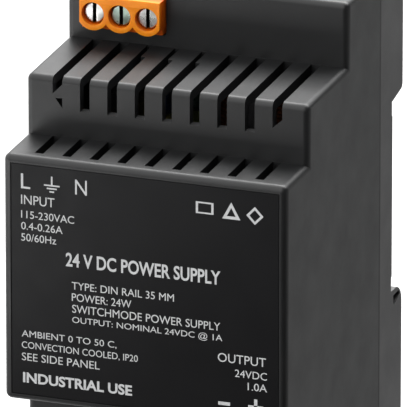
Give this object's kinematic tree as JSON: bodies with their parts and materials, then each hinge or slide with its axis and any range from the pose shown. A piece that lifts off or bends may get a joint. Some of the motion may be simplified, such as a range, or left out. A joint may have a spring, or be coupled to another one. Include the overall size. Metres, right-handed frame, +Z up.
{
  "type": "din rail power supply",
  "caption": "Compact black power supply with a stepped, vented front and orange screw terminals, held on a 35 mm top-hat rail by fixed hooks and a spring-loaded clip.",
  "frame": {"origin": "on the plane where the back rests on the rail, at the rail's middle height and the housing's middle width", "axes": "+X to the right seen from the front, +Y back towards the rail, +Z up; the printed front faces -Y"},
  "size_m": [0.0524, 0.059, 0.0968],
  "materials": {
    "housing_plastic": "moulded satin black polycarbonate",
    "base_plastic": "moulded satin black polycarbonate",
    "label_film": "black printed film",
    "clip_plastic": "glass-filled black nylon",
    "spring_steel": "bright spring wire",
    "board": "epoxy laminate",
    "screw_steel": "zinc plated",
    "insulating_film": "translucent polyester film",
    "terminal_plastic": "orange moulded polyamide",
    "tinned_brass": "tinned",
    "nickel_screw": "nickel plated",
    "cage_steel": "zinc plated",
    "fuse_plastic": "moulded",
    "blue_resin": "dipped",
    "dark_resin": "dipped",
    "box_capacitor": "moulded box",
    "ferrite": "sintered",
    "copper_wire": "enamelled",
    "black_resin": "moulded epoxy",
    "can_sleeve": "shrink sleeve on aluminium can",
    "aluminium_sheet": "mill finish",
    "bobbin_plastic": "moulded phenolic",
    "winding_tape": "polyester tape",
    "resistor_body": "lacquered"
  },
  "bodies": {
    "housing": {"front_housing": "housing_plastic", "rear_base": "base_plastic", "front_label": "label_film", "clip_spring": "spring_steel", "main_board": "board", "board_screws": "screw_steel", "insulating_sheet": "insulating_film", "input_terminal_body": "terminal_plastic", "output_terminal_body": "terminal_plastic", "input_current_bars": "tinned_brass", "output_current_bars": "tinned_brass", "fuse": "fuse_plastic", "varistor": "blue_resin", "inrush_limiter": "dark_resin", "line_filter_capacitor": "box_capacitor", "line_choke_core": "ferrite", "line_choke_windings": "copper_wire", "bridge_rectifier": "black_resin", "bulk_capacitor": "can_sleeve", "switching_transistor": "black_resin", "primary_heat_sink": "aluminium_sheet", "primary_heat_sink_screw": "screw_steel", "transformer_core": "ferrite", "transformer_bobbin": "bobbin_plastic", "transformer_winding": "winding_tape", "isolation_capacitor": "blue_resin", "optocoupler": "black_resin", "controller_chip": "black_resin", "output_diode": "black_resin", "output_heat_sink": "aluminium_sheet", "output_heat_sink_screw": "screw_steel", "output_capacitor_1": "can_sleeve", "output_capacitor_2": "can_sleeve", "output_choke": "ferrite", "resistors": "resistor_body"},
    "rail_clip": {"rail_clip": "clip_plastic"},
    "input_screw_1": {"input_screw_1": "nickel_screw"},
    "input_cage_1": {"input_cage_1": "cage_steel"},
    "input_screw_2": {"input_screw_2": "nickel_screw"},
    "input_cage_2": {"input_cage_2": "cage_steel"},
    "input_screw_3": {"input_screw_3": "nickel_screw"},
    "input_cage_3": {"input_cage_3": "cage_steel"},
    "output_screw_1": {"output_screw_1": "nickel_screw"},
    "output_cage_1": {"output_cage_1": "cage_steel"},
    "output_screw_2": {"output_screw_2": "nickel_screw"},
    "output_cage_2": {"output_cage_2": "cage_steel"}
  },
  "joints": [
    {"name": "rail_clip_slide", "type": "slide", "parent": "housing", "child": "rail_clip", "axis": [0, 0, -1], "range_m": [0, 0.0035], "stiffness_N_per_m": 1500, "springref_m": -0.003, "deforming": ["clip_spring"]},
    {"name": "input_screw_1_turn", "type": "hinge", "parent": "housing", "child": "input_screw_1", "pos_m": [-0.02045, -0.022, 0.0362], "axis": [0, 1, 0], "range_deg": [0, 1806]},
    {"name": "input_cage_1_lift", "type": "slide", "parent": "housing", "child": "input_cage_1", "axis": [0, -1, 0], "range_m": [0, 0.0025]},
    {"name": "input_screw_2_turn", "type": "hinge", "parent": "housing", "child": "input_screw_2", "pos_m": [-0.01545, -0.022, 0.0362], "axis": [0, 1, 0], "range_deg": [0, 1806]},
    {"name": "input_cage_2_lift", "type": "slide", "parent": "housing", "child": "input_cage_2", "axis": [0, -1, 0], "range_m": [0, 0.0025]},
    {"name": "input_screw_3_turn", "type": "hinge", "parent": "housing", "child": "input_screw_3", "pos_m": [-0.01045, -0.022, 0.0362], "axis": [0, 1, 0], "range_deg": [0, 1806]},
    {"name": "input_cage_3_lift", "type": "slide", "parent": "housing", "child": "input_cage_3", "axis": [0, -1, 0], "range_m": [0, 0.0025]},
    {"name": "output_screw_1_turn", "type": "hinge", "parent": "housing", "child": "output_screw_1", "pos_m": [0.01545, -0.022, -0.0442], "axis": [0, 1, 0], "range_deg": [0, 1806]},
    {"name": "output_cage_1_lift", "type": "slide", "parent": "housing", "child": "output_cage_1", "axis": [0, -1, 0], "range_m": [0, 0.0025]},
    {"name": "output_screw_2_turn", "type": "hinge", "parent": "housing", "child": "output_screw_2", "pos_m": [0.02045, -0.022, -0.0442], "axis": [0, 1, 0], "range_deg": [0, 1806]},
    {"name": "output_cage_2_lift", "type": "slide", "parent": "housing", "child": "output_cage_2", "axis": [0, -1, 0], "range_m": [0, 0.0025]}
  ],
  "couplings": [
    {"joint": "input_screw_1_turn", "follows": "input_cage_1_lift", "rad_per_m": 12566},
    {"joint": "input_screw_2_turn", "follows": "input_cage_2_lift", "rad_per_m": 12566},
    {"joint": "input_screw_3_turn", "follows": "input_cage_3_lift", "rad_per_m": 12566},
    {"joint": "output_screw_1_turn", "follows": "output_cage_1_lift", "rad_per_m": 12566},
    {"joint": "output_screw_2_turn", "follows": "output_cage_2_lift", "rad_per_m": 12566}
  ]
}
